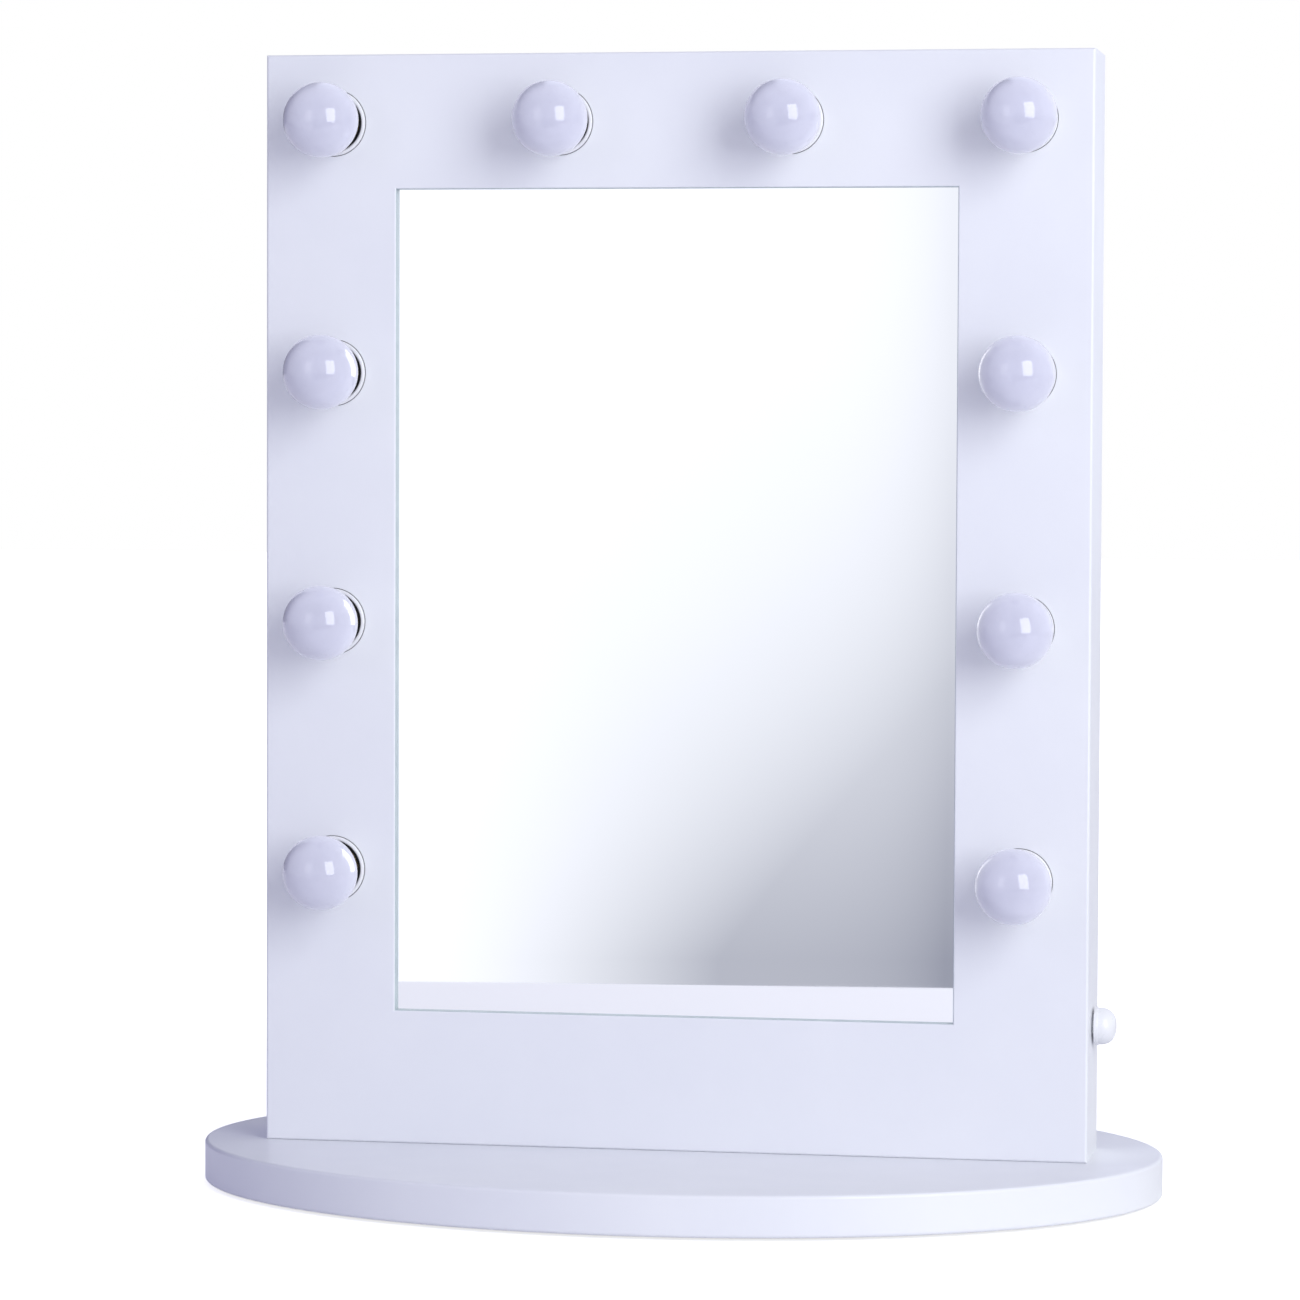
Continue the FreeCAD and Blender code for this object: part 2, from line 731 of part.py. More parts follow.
def make_lamps():
    for index, (x, height) in enumerate(lamp_places(), start=1):
        make_globe(f"bulb_{index:02d}_globe", x, height)
        make_housing(f"bulb_{index:02d}_housing", x, height)
        make_cap(f"bulb_{index:02d}_cap", x, height)
        make_lampholder(f"lampholder_{index:02d}", x, height)


def lamp_spots():
    return [(x, CASE_FRONT, f"{CASE_BOTTOM} + {height}", OUT_OF_FRONT) for x, height in lamp_places()]


def make_ring_nuts():
    """The nuts that clamp the lampholders from behind the front panel."""
    nut = new_body("ring_nut_master")
    bore = "holder_barrel_radius + screw_play"
    outer = "-front_thickness - nut_thickness"
    revolve(nut, [(bore, "-front_thickness"), ("nut_radius", "-front_thickness"),
                  ("nut_radius", f"{outer} + nut_chamfer"), ("nut_radius - nut_chamfer", outer),
                  (bore, outer)])
    grouped("lampholder_nuts", nut, lamp_spots())


def make_lampholder_contacts():
    """In each lampholder, the screw shell round the cap and the centre contact under its tip."""
    shell = new_body("shell_master")
    outer = "holder_bore_radius - screw_play"
    inner = "holder_bore_radius - screw_play - shell_wall"
    low = "screw_play - holder_bore_depth"
    high = "-holder_cup_depth - shell_gap"
    revolve(shell, [(inner, low), (outer, low), (outer, high), (inner, high)])
    contact = new_body("contact_master")
    top = "contact_height - holder_bore_depth"
    revolve(contact, [("0", "-holder_bore_depth"), ("contact_radius", "-holder_bore_depth"),
                      ("contact_radius", f"{top} - contact_chamfer"),
                      ("contact_radius - contact_chamfer", top), ("0", top)])
    both = document.addObject("Part::Compound", "contact_pair_master")
    both.Links = [shell, contact]
    grouped("lampholder_contacts", both, lamp_spots())


# ---------------------------------------------------------------- dimmer

def place_dimmer_piece(thing, turn=OUT_OF_SIDE):
    """Local Z 0 is the case's right face, and local +Z points out of it."""
    place(thing, "case_width / 2", "0", DIMMER_HEIGHT, turn)
    return export_later(thing)


def make_dimmer_housing():
    body = new_body("dimmer_housing")
    block = new_sketch(body, "XY_Plane", offset="-dimmer_web")
    draw_rectangle(block, "-dimmer_box_height / 2", "-dimmer_box_width / 2",
                   "dimmer_box_height", "dimmer_box_width")
    pad(body, block, "dimmer_box_depth", backwards=True)
    bushing = new_sketch(body, "XY_Plane", offset="-dimmer_web")
    draw_circles(bushing, [("0", "0")], "bushing_radius")
    pad(body, bushing, "dimmer_web + bushing_reach")
    bore = new_sketch(body, "XY_Plane", offset="bushing_reach")
    draw_circles(bore, [("0", "0")], "shaft_radius + shaft_play")
    pocket(body, bore, "bushing_reach + shaft_depth + shaft_play")
    place_dimmer_piece(body)


def make_dimmer_nut():
    body = new_body("dimmer_nut")
    face = new_sketch(body, "XY_Plane")
    corner = "dimmer_nut_width / 2 / cos(30)"
    draw_outline(face, [(f"{corner} * cos({turn})", f"{corner} * sin({turn})")
                        for turn in range(0, 360, 60)])
    draw_circles(face, [("0", "0")], "bushing_radius + screw_play")
    pad(body, face, "dimmer_nut_thickness")
    place_dimmer_piece(body)


def make_dimmer_shaft():
    body = new_body("dimmer_shaft")
    revolve(body, [("0", "-shaft_depth"), ("shaft_radius", "-shaft_depth"),
                   ("shaft_radius", "shaft_end - shaft_chamfer"),
                   ("shaft_radius - shaft_chamfer", "shaft_end"), ("0", "shaft_end")])
    place_dimmer_piece(body)


def make_dimmer_knob():
    """A domed knob with a thin skirt, hollow over the nut, and a pointer mark cut into its dome."""
    body = new_body("dimmer_knob")
    bore = "shaft_radius + shaft_play"
    blank = revolve(body, [
        ("0", "knob_top"), ("knob_radius", "knob_top"), ("knob_radius", "knob_skirt_top"),
        ("knob_skirt_radius", "knob_skirt_top"), ("knob_skirt_radius", "knob_gap"),
        ("knob_recess_radius", "knob_gap"), ("knob_recess_radius", "knob_recess_top"),
        (bore, "knob_recess_top"), (bore, "shaft_end + shaft_play"), ("0", "shaft_end + shaft_play")])
    round_edges(body, blank, lambda edge: near(edge.BoundBox.ZMin, number("knob_top")), "knob_round")
    mark = new_sketch(body, "XY_Plane", offset="knob_top")
    draw_rectangle(mark, "knob_mark_start", "-knob_mark_width / 2", "knob_mark_length", "knob_mark_width")
    pocket(body, mark, "knob_mark_depth")
    place_dimmer_piece(body, OUT_OF_SIDE.multiply(FreeCAD.Rotation(Z_AXIS, KNOB_REST_TURN)))


# ---------------------------------------------------------------- cable gland and wiring

def make_cable_gland():
    """A snap-in gland in the back panel; local Z 0 is the panel's outer face."""
    body = new_body("cable_gland")
    neck = "gland_body_radius - gland_play"
    barb = "-back_thickness - gland_barb_gap"
    revolve(body, [
        ("gland_bore_radius", "gland_flange_thickness"),
        ("gland_flange_radius - gland_chamfer", "gland_flange_thickness"),
        ("gland_flange_radius", "gland_flange_thickness - gland_chamfer"), ("gland_flange_radius", "0"),
        (neck, "0"), (neck, barb), ("gland_barb_radius", barb),
        ("gland_body_radius - gland_chamfer", "-gland_length"), ("gland_bore_radius", "-gland_length")])
    place(body, "gland_offset_x", f"{CASE_BACK} - back_inset", f"{CASE_BOTTOM} + gland_height",
          OUT_OF_BACK)
    export_later(body)


def bent_tube(points, bend_radius, tube_radius):
    """A round tube along straight runs that tangent arcs join."""
    edges = []
    start = points[0]
    for before, corner, after in zip(points, points[1:], points[2:]):
        arriving = (corner - before).normalize()
        leaving = (after - corner).normalize()
        turn = arriving.getAngle(leaving)
        setback = bend_radius * math.tan(turn / 2)
        first = corner - arriving * setback
        last = corner + leaving * setback
        inward = (leaving - arriving).normalize()
        centre = corner + inward * (bend_radius / math.cos(turn / 2))
        middle = centre - inward * bend_radius
        edges.append(Part.LineSegment(start, first).toShape())
        edges.append(Part.Arc(first, middle, last).toShape())
        start = last
    edges.append(Part.LineSegment(start, points[-1]).toShape())
    path = Part.Wire(edges)
    ring = Part.Wire([Part.makeCircle(tube_radius, points[0], points[1] - points[0])])
    tube = path.makePipeShell([ring], True, False)
    expected = math.pi * tube_radius ** 2 * path.Length
    if abs(tube.Volume - expected) > 0.01 * expected:
        raise RuntimeError("a lead's volume is not its section times its length")
    return tube


def make_wiring():
    """Leads from the dimmer to the nearest lampholder, and on from each lampholder to the next."""
    side = number("case_width") / 2 - number("lamp_side_inset")
    bottom = number("foot_height") + number("base_thickness")
    top = bottom + number("case_height") - number("lamp_top_inset")
    column = number("lamp_column_spacing")
    row = number("lamp_row_spacing")
    left = [(-side, top - drop * column) for drop in (3, 2, 1)]
    across = [(step * row, top) for step in (-1.5, -0.5, 0.5, 1.5)]
    right = [(side, top - drop * column) for drop in (1, 2, 3)]
    lamps = left + across + right
    holder_back = -number("case_depth") / 2 + number("holder_depth")
    lead_plane = holder_back + number("lead_setback")
    offset = number("lead_terminal_offset")
    radius = number("lead_radius")
    bend = number("lead_bend_radius")
    tubes = []
    for (from_x, from_z), (to_x, to_z) in zip(lamps, lamps[1:]):
        along = FreeCAD.Vector(to_x - from_x, 0, to_z - from_z).normalize() * offset
        first = FreeCAD.Vector(from_x, holder_back, from_z) + along
        last = FreeCAD.Vector(to_x, holder_back, to_z) - along
        back = FreeCAD.Vector(0, lead_plane - holder_back, 0)
        tubes.append(bent_tube([first, first + back, last + back, last], bend, radius))
    box_face = number("case_width") / 2 - number("dimmer_web") - number("dimmer_box_depth")
    dimmer_z = bottom + number("dimmer_height")
    lamp_x, lamp_z = lamps[-1]
    terminal_z = lamp_z - offset
    tubes.append(bent_tube([
        FreeCAD.Vector(box_face, lead_plane, dimmer_z), FreeCAD.Vector(lamp_x, lead_plane, dimmer_z),
        FreeCAD.Vector(lamp_x, lead_plane, terminal_z), FreeCAD.Vector(lamp_x, holder_back, terminal_z)],
        bend, radius))
    wiring = document.addObject("Part::Feature", "wiring_harness")
    wiring.Label = "wiring_harness"
    wiring.Shape = Part.makeCompound(tubes)
    wiring.Placement = FreeCAD.Placement()
    export_later(wiring)


# ---------------------------------------------------------------- build and export

def check_document():
    for item in document.Objects:
        if "Invalid" in item.State or "Error" in item.State:
            raise RuntimeError(f"{item.Name} failed: {item.State}")
    for thing in exported:
        if thing.Shape.isNull() or not thing.Shape.isValid():
            raise RuntimeError(f"{thing.Label} has no valid shape")


def write_parts():
    os.makedirs("parts", exist_ok=True)
    for thing in exported:
        thing.Shape.exportStep(f"parts/{thing.Label}.step")
        print(f"{thing.Label}: {len(thing.Shape.Solids)} solid(s), {thing.Shape.Volume / 1000:.1f} cm3")


fill_sheet()
make_base_plate()
make_rubber_feet()
make_front_panel()
make_case_panels()
make_back_panel()
make_mirror_glass()
make_mirror_clips()
make_wood_screws()
make_base_screws()
make_lamps()
make_ring_nuts()
make_lampholder_contacts()
make_dimmer_housing()
make_dimmer_nut()
make_dimmer_shaft()
make_dimmer_knob()
make_cable_gland()
make_wiring()
document.recompute()
check_document()
write_parts()
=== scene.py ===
import math

import bmesh
import bpy
from mathutils import Matrix, Vector


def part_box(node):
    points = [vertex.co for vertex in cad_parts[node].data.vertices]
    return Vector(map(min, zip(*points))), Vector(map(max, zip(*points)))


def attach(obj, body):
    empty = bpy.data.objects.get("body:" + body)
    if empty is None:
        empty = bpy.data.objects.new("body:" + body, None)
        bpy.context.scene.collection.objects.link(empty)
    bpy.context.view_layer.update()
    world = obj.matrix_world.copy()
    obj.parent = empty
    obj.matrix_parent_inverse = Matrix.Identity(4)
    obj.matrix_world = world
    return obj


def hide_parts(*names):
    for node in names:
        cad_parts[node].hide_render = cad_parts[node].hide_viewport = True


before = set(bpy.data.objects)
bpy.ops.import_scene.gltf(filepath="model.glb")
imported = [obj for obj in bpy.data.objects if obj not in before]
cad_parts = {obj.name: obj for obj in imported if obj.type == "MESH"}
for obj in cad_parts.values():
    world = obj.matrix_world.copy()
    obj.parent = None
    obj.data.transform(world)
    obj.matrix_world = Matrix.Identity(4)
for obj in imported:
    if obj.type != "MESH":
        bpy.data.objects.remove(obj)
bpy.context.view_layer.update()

# The looks of a lighted vanity mirror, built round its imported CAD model.
# Metres, in the row frame: +Z is up, -Y is the side that the user sits at,
# and the origin is on the table top below the middle of the base.

MM = 0.001

LAMP_NAMES = [f"{index:02d}" for index in range(1, 11)]
ROUND_SEGMENTS = 128
FILLET_STEPS = 6
SHARP_ANGLE = math.radians(32)


# ---------------------------------------------------------------- places

def axes(x_axis, z_axis, origin):
    """A matrix whose local X and Z point along the given directions."""
    x_axis = Vector(x_axis)
    z_axis = Vector(z_axis)
    y_axis = z_axis.cross(x_axis)
    turned = Matrix((x_axis, y_axis, z_axis)).transposed().to_4x4()
    return Matrix.Translation(origin) @ turned


def front_face():
    """How far forward the front panel's face stands, as a Y."""
    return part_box("front_panel")[0].y


def lamp_place(name):
    """A lamp's axis: the origin on the front face, local Z out of it."""
    low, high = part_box(f"bulb_{name}_globe")
    origin = Vector(((low.x + high.x) / 2, front_face(), (low.z + high.z) / 2))
    return axes((1, 0, 0), (0, -1, 0), origin)


def reach(node):
    """How far a lamp's node goes out of the front face: its nearest and furthest."""
    low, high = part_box(node)
    return front_face() - high.y, front_face() - low.y


def half_width(node):
    low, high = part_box(node)
    return (high.x - low.x) / 2


def knob_place():
    """The dimmer's axis: the origin on the case's right face, local Z out of it."""
    low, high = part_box("dimmer_knob")
    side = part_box("right_side_panel")[1].x
    origin = Vector((side, (low.y + high.y) / 2, (low.z + high.z) / 2))
    return axes((0, 0, -1), (1, 0, 0), origin)


# ---------------------------------------------------------------- mesh work

def rounded(corners):
    """Points along a profile of (radius, height, fillet) corners, with its corners rounded."""
    points = []
    last = len(corners) - 1
    for index, (radius, height, fillet) in enumerate(corners):
        here = Vector((radius, height))
        if fillet == 0 or index in (0, last):
            points.append(here)
            continue
        before = (Vector(corners[index - 1][:2]) - here).normalized()
        after = (Vector(corners[index + 1][:2]) - here).normalized()
        half = before.angle(after) / 2
        start = here + before * fillet / math.tan(half)
        end = here + after * fillet / math.tan(half)
        centre = here + (before + after).normalized() * fillet / math.sin(half)
        sweep = math.pi - 2 * half
        for step in range(FILLET_STEPS + 1):
            share = step / FILLET_STEPS
            from_start = math.sin((1 - share) * sweep) / math.sin(sweep)
            from_end = math.sin(share * sweep) / math.sin(sweep)
            points.append(centre + (start - centre) * from_start + (end - centre) * from_end)
    return points


def finish_mesh(name, builder, place, material):
    """Turn a bmesh made in a local frame into a smooth-shaded object in the row frame."""
    bmesh.ops.remove_doubles(builder, verts=builder.verts, dist=1e-6)
    bmesh.ops.recalc_face_normals(builder, faces=builder.faces)
    builder.transform(place)
    mesh = bpy.data.meshes.new(name)
    builder.to_mesh(mesh)
    builder.free()
    mesh.shade_smooth()
    mesh.set_sharp_from_angle(angle=SHARP_ANGLE)
    mesh.materials.append(material)
    thing = bpy.data.objects.new(name, mesh)
    bpy.context.scene.collection.objects.link(thing)
    return thing


def surface_grid(builder, rows, wrap_rows=False):
    """Faces between rows of vertices; every row is a closed ring, or one point."""
    pairs = list(zip(rows, rows[1:]))
    if wrap_rows:
        pairs.append((rows[-1], rows[0]))
    for first, second in pairs:
        count = max(len(first), len(second))
        if count == 1:
            continue
        for index in range(count):
            following = (index + 1) % count
            corners = [first[index % len(first)], first[following % len(first)],
                       second[following % len(second)], second[index % len(second)]]
            loop = [corner for place, corner in enumerate(corners) if corner not in corners[:place]]
            if len(loop) > 2:
                builder.faces.new(loop)


def ring(builder, radius, height, segments=ROUND_SEGMENTS):
    if radius < 1e-7:
        return [builder.verts.new((0, 0, height))]
    turns = [2 * math.pi * index / segments for index in range(segments)]
    return [builder.verts.new((radius * math.cos(turn), radius * math.sin(turn), height)) for turn in turns]


def lathe(name, points, place, material, closed=False):
    """A solid of revolution about local Z, from (radius, height) points."""
    builder = bmesh.new()
    rows = [ring(builder, radius, height) for radius, height in points]
    surface_grid(builder, rows, wrap_rows=closed)
    return finish_mesh(name, builder, place, material)


# ---------------------------------------------------------------- materials

class Finish:
    """A procedural material: a Principled shader whose tint, gloss and relief come from noise."""

    def __init__(self, name, roughness, metallic=0.0):
        self.material = bpy.data.materials.new(name)
        self.material.use_nodes = True
        self.tree = self.material.node_tree
        self.shader = self.tree.nodes["Principled BSDF"]
        self.set("Roughness", roughness)
        self.set("Metallic", metallic)
        self.relief = None

    def set(self, field, value):
        self.shader.inputs[field].default_value = value

    def node(self, kind, **fields):
        made = self.tree.nodes.new(kind)
        for field, value in fields.items():
            setattr(made, field, value)
        return made

    def link(self, output, target):
        self.tree.links.new(output, target)

    def spot(self, size, stretch=(1, 1, 1)):
        """Object coordinates in steps of `size` metres, longer along an axis with a larger stretch."""
        coordinates = self.node("ShaderNodeTexCoord")
        mapping = self.node("ShaderNodeMapping")
        mapping.inputs["Scale"].default_value = [1 / (size * part) for part in stretch]
        self.link(coordinates.outputs["Object"], mapping.inputs["Vector"])
        return mapping.outputs["Vector"]

    def noise(self, size, detail=3.0, stretch=(1, 1, 1)):
        """Soft blotches about `size` metres across."""
        noise = self.node("ShaderNodeTexNoise")
        noise.inputs["Scale"].default_value = 1.0
        noise.inputs["Detail"].default_value = detail
        self.link(self.spot(size, stretch), noise.inputs["Vector"])
        return noise.outputs["Fac"]

    def cells(self, size, stretch=(1, 1, 1)):
        """Flat-toned cells about `size` metres across."""
        voronoi = self.node("ShaderNodeTexVoronoi", feature="F1")
        voronoi.inputs["Scale"].default_value = 1.0
        self.link(self.spot(size, stretch), voronoi.inputs["Vector"])
        split = self.node("ShaderNodeSeparateColor")
        self.link(voronoi.outputs["Color"], split.inputs["Color"])
        return split.outputs["Red"]

    def tint(self, pattern, colours, low=0.3, high=0.7):
        """The base colour runs from the first colour to the second along the pattern."""
        ramp = self.node("ShaderNodeValToRGB")
        for element, position, colour in zip(ramp.color_ramp.elements, (low, high), colours):
            element.position = position
            element.color = (*colour, 1.0)
        self.link(pattern, ramp.inputs["Fac"])
        self.link(ramp.outputs["Color"], self.shader.inputs["Base Color"])

    def gloss(self, pattern, smooth, rough, low=0.3, high=0.7):
        """The roughness runs from smooth to rough along the pattern."""
        spread = self.node("ShaderNodeMapRange")
        for field, value in (("From Min", low), ("From Max", high), ("To Min", smooth), ("To Max", rough)):
            spread.inputs[field].default_value = value
        self.link(pattern, spread.inputs["Value"])
        self.link(spread.outputs["Result"], self.shader.inputs["Roughness"])

    def bump(self, pattern, depth):
        """Relief of about `depth` metres, added to any relief so far."""
        bump = self.node("ShaderNodeBump")
        bump.inputs["Strength"].default_value = 1.0
        bump.inputs["Distance"].default_value = depth
        self.link(pattern, bump.inputs["Height"])
        if self.relief is not None:
            self.link(self.relief, bump.inputs["Normal"])
        self.relief = bump.outputs["Normal"]
        self.link(self.relief, self.shader.inputs["Normal"])


def lacquer():
    """Sprayed satin lacquer: a faint orange peel, and a coat that is not quite even."""
    finish = Finish("white_lacquer", roughness=0.36)
    finish.tint(finish.noise(0.11), ((0.800, 0.812, 0.850), (0.832, 0.842, 0.872)))
    finish.gloss(finish.noise(0.035), 0.31, 0.42)
    finish.bump(finish.noise(0.0022, detail=2), 0.000022)
    finish.bump(finish.noise(0.00045, detail=1), 0.000004)
    return finish.material


def fibreboard():
    """Thin board with a dull white face, where pressed fibres show through."""
    finish = Finish("back_board", roughness=0.68)
    fibres = finish.noise(0.004, detail=6, stretch=(3, 1, 1))
    finish.tint(fibres, ((0.69, 0.69, 0.69), (0.79, 0.785, 0.775)))
    finish.gloss(finish.noise(0.02), 0.58, 0.78)
    finish.bump(finish.noise(0.0011, detail=5, stretch=(4, 1, 1)), 0.00007)
    return finish.material


def mirror_silver():
    """Silvered glass, polished, with the faintest of wiping marks."""
    finish = Finish("mirror_silver", roughness=0.01, metallic=1.0)
    finish.tint(finish.noise(0.2), ((0.945, 0.955, 0.955), (0.965, 0.970, 0.972)))
    finish.gloss(finish.noise(0.05, detail=4, stretch=(3, 1, 1)), 0.0, 0.022)
    return finish.material


def milk_glass():
    """A globe of milk glass: a faint painted glow stands in for the light its wall passes on, so its
    shading is flat, and its sheen keeps its rim pale.
    """
    finish = Finish("frosted_globe", roughness=0.3)
    finish.tint(finish.noise(0.016), ((0.590, 0.595, 0.695), (0.625, 0.630, 0.730)))
    finish.gloss(finish.noise(0.003), 0.26, 0.36)
    finish.bump(finish.noise(0.0012, detail=2), 0.000006)
    finish.set("Diffuse Roughness", 1.0)
    finish.set("Specular IOR Level", 0.1)
    finish.set("Sheen Weight", 0.1)
    finish.set("Sheen Roughness", 0.3)
    finish.set("Coat Weight", 1.0)
    finish.set("Coat Roughness", 0.0)
    finish.set("Coat IOR", 1.55)
    # Painted light: a faint lilac glow on an unlit globe, in place of light passed through its wall.
    finish.set("Emission Color", (0.92, 0.88, 1.0, 1.0))
    finish.set("Emission Strength", 0.08)
    return finish.material


def moulded(name, colours, roughness, grain=0.0006, relief=0.00001, coat=0.0):
    """Injection-moulded plastic: a fine even grain and slow flow marks."""
    finish = Finish(name, roughness)
    finish.tint(finish.noise(0.014), colours)
    finish.gloss(finish.noise(0.005), roughness - 0.05, roughness + 0.06)
    finish.bump(finish.noise(grain, detail=2), relief)
    finish.set("Coat Weight", coat)
    finish.set("Coat Roughness", 0.08)
    return finish.material


def rolled_metal(name, colours, roughness, streak=(1, 1, 1), relief=0.000012):
    """Pressed sheet metal with fine draw marks and a mottled tarnish."""
    finish = Finish(name, roughness, metallic=1.0)
    finish.tint(finish.noise(0.006, detail=5), colours)
    finish.gloss(finish.noise(0.0012, detail=4, stretch=streak), roughness - 0.09, roughness + 0.12)
    finish.bump(finish.noise(0.0004, detail=3, stretch=streak), relief)
    return finish.material


def zinc_steel():
    """Zinc-plated steel: small flat crystals, each a little lighter or darker."""
    finish = Finish("zinc_steel", roughness=0.34, metallic=1.0)
    finish.tint(finish.cells(0.0016), ((0.46, 0.48, 0.50), (0.66, 0.67, 0.67)), 0.0, 1.0)
    finish.gloss(finish.cells(0.0016), 0.26, 0.44, 0.0, 1.0)
    finish.bump(finish.noise(0.0007, detail=3), 0.000012)
    return finish.material


def rubber():
    """Dull moulded rubber with a dusty bloom."""
    finish = Finish("grey_rubber", roughness=0.82)
    finish.tint(finish.noise(0.003, detail=5), ((0.085, 0.085, 0.09), (0.15, 0.15, 0.155)))
    finish.gloss(finish.noise(0.002), 0.74, 0.92)
    finish.bump(finish.noise(0.0005, detail=3), 0.00004)
    return finish.material


def make_materials():
    """One material for each of the record's slots, and three for small pieces without a slot."""
    return {
        "white_lacquer": lacquer(),
        "back_board": fibreboard(),
        "mirror_silver": mirror_silver(),
        "frosted_globe": milk_glass(),
        "housing_white": moulded("housing_white", ((0.77, 0.77, 0.79), (0.83, 0.83, 0.845)), 0.38),
        "cap_nickel": rolled_metal("cap_nickel", ((0.60, 0.58, 0.54), (0.74, 0.72, 0.68)), 0.24),
        "holder_white": moulded("holder_white", ((0.80, 0.80, 0.83), (0.85, 0.85, 0.87)), 0.25, coat=0.4),
        "contact_brass": rolled_metal("contact_brass", ((0.62, 0.43, 0.17), (0.80, 0.60, 0.28)), 0.26),
        "zinc_steel": zinc_steel(),
        "dimmer_black": moulded("dimmer_black", ((0.022, 0.022, 0.024), (0.038, 0.038, 0.040)), 0.48),
        "knob_white": moulded("knob_white", ((0.80, 0.805, 0.83), (0.84, 0.845, 0.865)), 0.30, coat=0.3),
        "gland_black": moulded("gland_black", ((0.016, 0.016, 0.018), (0.034, 0.034, 0.036)), 0.52,
                               relief=0.00002),
        "wire_white": moulded("wire_white", ((0.70, 0.70, 0.69), (0.80, 0.80, 0.79)), 0.42),
        "grey_rubber": rubber(),
        # Painted shade and painted reflection: the greenish grey of the opening's shaded walls.
        "reveal_shade_colour": moulded("reveal_shade_colour", ((0.42, 0.49, 0.52), (0.48, 0.55, 0.57)), 0.42),
        # Painted shade: near-black for the inside of the lampholder's cup.
        "painted_shade_black": moulded("painted_shade_black", ((0.010, 0.010, 0.012), (0.022, 0.022, 0.025)), 0.45),
        "insulator_black": moulded("insulator_black", ((0.012, 0.012, 0.014), (0.03, 0.03, 0.032)), 0.22,
                                   coat=0.5),
    }


MATERIALS = make_materials()

CARRIED_NODES = {
    "white_lacquer": ["front_panel", "left_side_panel", "right_side_panel", "top_panel", "bottom_panel",
                      "base_plate"],
    "back_board": ["back_panel"],
    "mirror_silver": ["mirror_glass"],
    "contact_brass": ["lampholder_contacts"],
    "holder_white": ["lampholder_nuts"],
    "zinc_steel": ["mirror_clips", "wood_screws", "base_screws", "dimmer_nut", "dimmer_shaft"],
    "dimmer_black": ["dimmer_housing"],
    "gland_black": ["cable_gland"],
    "wire_white": ["wiring_harness"],
    "grey_rubber": ["rubber_feet"],
}


def dress_carried_nodes():
    """Give every CAD node that stays in view its material."""
    for slot_name, nodes in CARRIED_NODES.items():
        for node in nodes:
            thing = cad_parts[node]
            thing.data.materials.clear()
            thing.data.materials.append(MATERIALS[slot_name])


def fit_piece(piece, body, slot_name, *nodes):
    """The piece rides on its body and stands for the CAD nodes, which it hides; the slot name is not used.
    """
    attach(piece, body)
    if nodes:
        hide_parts(*nodes)


# ---------------------------------------------------------------- lamps

GLOBE_WALL = 1.2 * MM
GLOBE_RINGS = 56


def make_globe(name):
    """A thin-walled sphere, open at its back where it is glued to the housing."""
    node = f"bulb_{name}_globe"
    radius = half_width(node)
    open_end, tip = reach(node)
    centre = tip - radius
    points = []
    for shell in (radius, radius - GLOBE_WALL):
        rim_turn = math.asin((open_end - centre) / shell)
        sweep = math.pi / 2 - rim_turn
        turns = [rim_turn + sweep * step / GLOBE_RINGS for step in range(GLOBE_RINGS + 1)]
        wall = [(shell * math.cos(turn), centre + shell * math.sin(turn)) for turn in turns]
        points.append(wall)
    outside, inside = points
    outside[-1] = (0, tip)
    inside[-1] = (0, tip - GLOBE_WALL)
    globe = lathe(f"globe_{name}", outside[::-1] + inside, lamp_place(name), MATERIALS["frosted_globe"])
    fit_piece(globe, f"bulb_{name}", "frosted_globe", node)


def make_housing(name):
    """The plastic body that tapers from the globe down to the screw cap."""
    node = f"bulb_{name}_housing"
    widest = half_width(node)
    start, end = reach(node)
    lip_height = 1.4 * MM
    seat = end - lip_height
    lip = widest - 1.4 * MM
    neck = 14.5 * MM
    groove_depth = 0.45 * MM
    groove_reach = 0.4 * MM
    groove_floor = 0.15 * MM
    slope = (widest - neck) / (seat - start)
    corners = [(0, start, 0), (neck, start, 0.5 * MM)]
    for groove in (4 * MM, seat - start - 1.2 * MM):
        outer = neck + slope * groove
        corners += [
            (outer - slope * groove_reach, start + groove - groove_reach, 0.12 * MM),
            (outer - groove_depth, start + groove - groove_floor, 0.06 * MM),
            (outer - groove_depth, start + groove + groove_floor, 0.06 * MM),
            (outer + slope * groove_reach, start + groove + groove_reach, 0.12 * MM),
        ]
    corners += [(widest, seat, 0.1 * MM), (lip, seat, 0), (lip, end, 0.3 * MM), (0, end, 0)]
    housing = lathe(f"housing_{name}", rounded(corners), lamp_place(name), MATERIALS["housing_white"])
    fit_piece(housing, f"bulb_{name}", "housing_white", node)


THREAD_PITCH = 3.6 * MM
THREAD_DEPTH = 0.95 * MM
THREAD_ROWS = 96


def smooth_step(low, high, value):
    share = min(max((value - low) / (high - low), 0), 1)
    return share * share * (3 - 2 * share)


